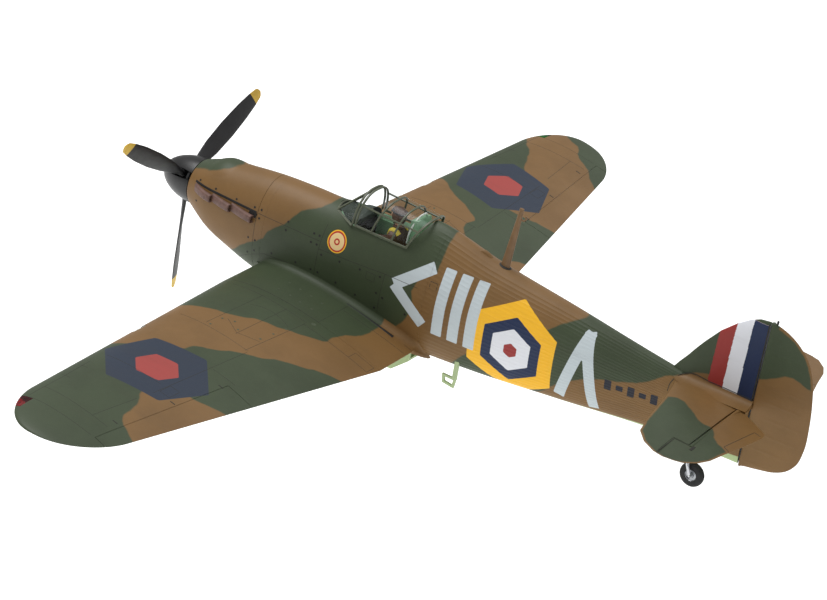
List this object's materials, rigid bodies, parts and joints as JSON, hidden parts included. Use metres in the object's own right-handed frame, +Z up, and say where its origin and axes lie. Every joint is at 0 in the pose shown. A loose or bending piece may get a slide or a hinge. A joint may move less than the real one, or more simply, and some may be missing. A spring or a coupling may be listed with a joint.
{
  "type": "radio-controlled warbird plane",
  "caption": "Low-wing single-seat model aeroplane with a shrouded in-line nose, framed sliding canopy, three-blade propeller, retracting main gear, belly radiator and linked control surfaces.",
  "frame": {"origin": "centre of the flat face under the belly radiator, on which the model lies with its wheels up", "axes": "+X towards the aircraft's left wing tip, -Y along the thrust line towards the spinner, +Z up"},
  "size_m": [1.2234, 0.9485, 0.3105],
  "materials": {
    "painted_foam": "satin camouflage paint over foam",
    "painted_cowl": "satin camouflage paint over moulded plastic",
    "pale_underside": "satin pale green paint",
    "frame_paint": "satin grey-green paint",
    "exhaust_metal": "burnt matt metal",
    "clear_glazing": "clear moulded glazing",
    "lamp_lens": "clear and tinted lenses",
    "black_plastic": "matt black nylon",
    "spinner_black": "satin black plastic",
    "alloy": "machined",
    "steel": "plain",
    "chrome_leg": "polished",
    "rubber": "matt rubber",
    "carbon": "carbon tube",
    "plywood": "plain birch plywood",
    "servo_case": "moulded nylon",
    "battery_wrap": "heat-shrink wrap",
    "cockpit_green": "satin interior green paint",
    "figure_paint": "painted figure",
    "radiator_mesh": "dark mesh"
  },
  "bodies": {
    "airframe": {"fuselage_left": "painted_foam", "fuselage_right": "painted_foam", "belly_fairing": "pale_underside", "nose_cowl": "painted_cowl", "exhaust_stacks": "exhaust_metal", "radiator_housing": "pale_underside", "radiator_core": "radiator_mesh", "wing_center": "painted_foam", "wing_left": "painted_foam", "wing_right": "painted_foam", "wing_lights": "lamp_lens", "wing_spars": "carbon", "aileron_servos": "servo_case", "retract_units": "alloy", "motor_stator": "steel", "firewall": "plywood", "motor_screws": "steel", "speed_controller": "battery_wrap", "equipment_trays": "plywood", "battery": "battery_wrap", "receiver": "servo_case", "tail_servos": "servo_case", "fin": "painted_foam", "tailplane": "painted_foam", "windscreen_frame": "frame_paint", "windscreen_glass": "clear_glazing", "cockpit_tub": "cockpit_green", "instrument_panel": "black_plastic", "headrest": "cockpit_green", "pilot_figure": "figure_paint", "antenna_mast": "painted_cowl", "boarding_step": "pale_underside"},
    "propeller": {"spinner": "spinner_black", "spinner_backplate": "alloy", "propeller": "black_plastic", "motor_shaft": "steel", "motor_rotor": "alloy"},
    "aileron_left": {"aileron_left": "painted_foam"},
    "aileron_right": {"aileron_right": "painted_foam"},
    "aileron_arm_left": {"aileron_arm_left": "black_plastic"},
    "aileron_arm_right": {"aileron_arm_right": "black_plastic"},
    "aileron_rod_left": {"aileron_rod_left": "steel"},
    "aileron_rod_right": {"aileron_rod_right": "steel"},
    "elevator": {"elevator": "painted_foam"},
    "elevator_arm": {"elevator_arm": "black_plastic"},
    "elevator_rod": {"elevator_rod": "steel"},
    "rudder": {"rudder": "painted_foam", "tail_light": "lamp_lens"},
    "rudder_arm": {"rudder_arm": "black_plastic"},
    "rudder_rod": {"rudder_rod": "steel"},
    "tail_fork": {"tail_wheel_fork": "chrome_leg"},
    "tail_wheel": {"tail_wheel": "rubber"},
    "canopy": {"canopy_frame": "frame_paint", "canopy_glass": "clear_glazing"},
    "gear_left": {"gear_leg_left": "chrome_leg", "gear_door_left": "pale_underside"},
    "gear_right": {"gear_leg_right": "chrome_leg", "gear_door_right": "pale_underside"},
    "wheel_left": {"wheel_left": "rubber"},
    "wheel_right": {"wheel_right": "rubber"}
  },
  "joints": [
    {"name": "prop_spin", "type": "hinge", "parent": "airframe", "child": "propeller", "pos_m": [0, -0.344, 0.124], "axis": [0, 1, 0], "continuous": true},
    {"name": "aileron_left_hinge", "type": "hinge", "parent": "airframe", "child": "aileron_left", "pos_m": [0.338, -0.01403, 0.07884], "axis": [0.9955, -0.0791, 0.0521], "range_deg": [-20, 20]},
    {"name": "aileron_right_hinge", "type": "hinge", "parent": "airframe", "child": "aileron_right", "pos_m": [-0.338, -0.01403, 0.07884], "axis": [0.9955, 0.0791, -0.0521], "range_deg": [-20, 20]},
    {"name": "aileron_arm_left_pivot", "type": "hinge", "parent": "airframe", "child": "aileron_arm_left", "pos_m": [0.44395, -0.09267, 0.08468], "axis": [0.9955, -0.0791, 0.0521], "range_deg": [-20, 20]},
    {"name": "aileron_rod_left_pivot", "type": "hinge", "parent": "aileron_arm_left", "child": "aileron_rod_left", "pos_m": [0.44533, -0.08977, 0.06271], "axis": [0.9955, -0.0791, 0.0521], "range_deg": [-20, 20]},
    {"name": "aileron_arm_right_pivot", "type": "hinge", "parent": "airframe", "child": "aileron_arm_right", "pos_m": [-0.44395, -0.09267, 0.08468], "axis": [0.9955, 0.0791, -0.0521], "range_deg": [-20, 20]},
    {"name": "aileron_rod_right_pivot", "type": "hinge", "parent": "aileron_arm_right", "child": "aileron_rod_right", "pos_m": [-0.44533, -0.08977, 0.06271], "axis": [0.9955, 0.0791, -0.0521], "range_deg": [-20, 20]},
    {"name": "elevator_hinge", "type": "hinge", "parent": "airframe", "child": "elevator", "pos_m": [0, 0.488, 0.142], "axis": [1, 0, 0], "range_deg": [-22, 22]},
    {"name": "elevator_arm_pivot", "type": "hinge", "parent": "airframe", "child": "elevator_arm", "pos_m": [-0.015, 0.11, 0.1], "axis": [1, 0, 0], "range_deg": [-22, 22]},
    {"name": "elevator_rod_pivot", "type": "hinge", "parent": "elevator_arm", "child": "elevator_rod", "pos_m": [-0.015, 0.11, 0.084], "axis": [1, 0, 0], "range_deg": [-22, 22]},
    {"name": "rudder_hinge", "type": "hinge", "parent": "airframe", "child": "rudder", "pos_m": [0, 0.4982, 0.124], "axis": [0, 0, 1], "range_deg": [-25, 25]},
    {"name": "rudder_arm_pivot", "type": "hinge", "parent": "airframe", "child": "rudder_arm", "pos_m": [0.012, 0.151, 0.1185], "axis": [0, 0, 1], "range_deg": [-25, 25]},
    {"name": "rudder_rod_pivot", "type": "hinge", "parent": "rudder_arm", "child": "rudder_rod", "pos_m": [-0.004, 0.151, 0.1185], "axis": [0, 0, 1], "range_deg": [-25, 25]},
    {"name": "tail_wheel_steer", "type": "hinge", "parent": "airframe", "child": "tail_fork", "pos_m": [0, 0.434, 0.064], "axis": [0, 0, 1], "range_deg": [-25, 25]},
    {"name": "tail_wheel_spin", "type": "hinge", "parent": "tail_fork", "child": "tail_wheel", "pos_m": [0, 0.441, 0.026], "axis": [1, 0, 0], "continuous": true},
    {"name": "canopy_slide", "type": "slide", "parent": "airframe", "child": "canopy", "axis": [0, 1, 0], "range_m": [0, 0.075]},
    {"name": "gear_left_retract", "type": "hinge", "parent": "airframe", "child": "gear_left", "pos_m": [0.106, -0.154, 0.0585], "axis": [0, -1, 0], "range_deg": [0, 88]},
    {"name": "gear_right_retract", "type": "hinge", "parent": "airframe", "child": "gear_right", "pos_m": [-0.106, -0.154, 0.0585], "axis": [0, 1, 0], "range_deg": [0, 88]},
    {"name": "wheel_left_spin", "type": "hinge", "parent": "gear_left", "child": "wheel_left", "pos_m": [0.03, -0.154, 0.069], "axis": [0, 0, 1], "continuous": true},
    {"name": "wheel_right_spin", "type": "hinge", "parent": "gear_right", "child": "wheel_right", "pos_m": [-0.03, -0.154, 0.069], "axis": [0, 0, 1], "continuous": true}
  ],
  "couplings": [
    {"joint": "aileron_right_hinge", "follows": "aileron_left_hinge", "ratio": -1},
    {"joint": "aileron_arm_left_pivot", "follows": "aileron_left_hinge", "ratio": 1},
    {"joint": "aileron_rod_left_pivot", "follows": "aileron_left_hinge", "ratio": -1},
    {"joint": "aileron_arm_right_pivot", "follows": "aileron_left_hinge", "ratio": -1},
    {"joint": "aileron_rod_right_pivot", "follows": "aileron_left_hinge", "ratio": 1},
    {"joint": "elevator_arm_pivot", "follows": "elevator_hinge", "ratio": 1},
    {"joint": "elevator_rod_pivot", "follows": "elevator_hinge", "ratio": -1},
    {"joint": "rudder_arm_pivot", "follows": "rudder_hinge", "ratio": 1},
    {"joint": "rudder_rod_pivot", "follows": "rudder_hinge", "ratio": -1},
    {"joint": "tail_wheel_steer", "follows": "rudder_hinge", "ratio": 1},
    {"joint": "gear_right_retract", "follows": "gear_left_retract", "ratio": 1}
  ]
}
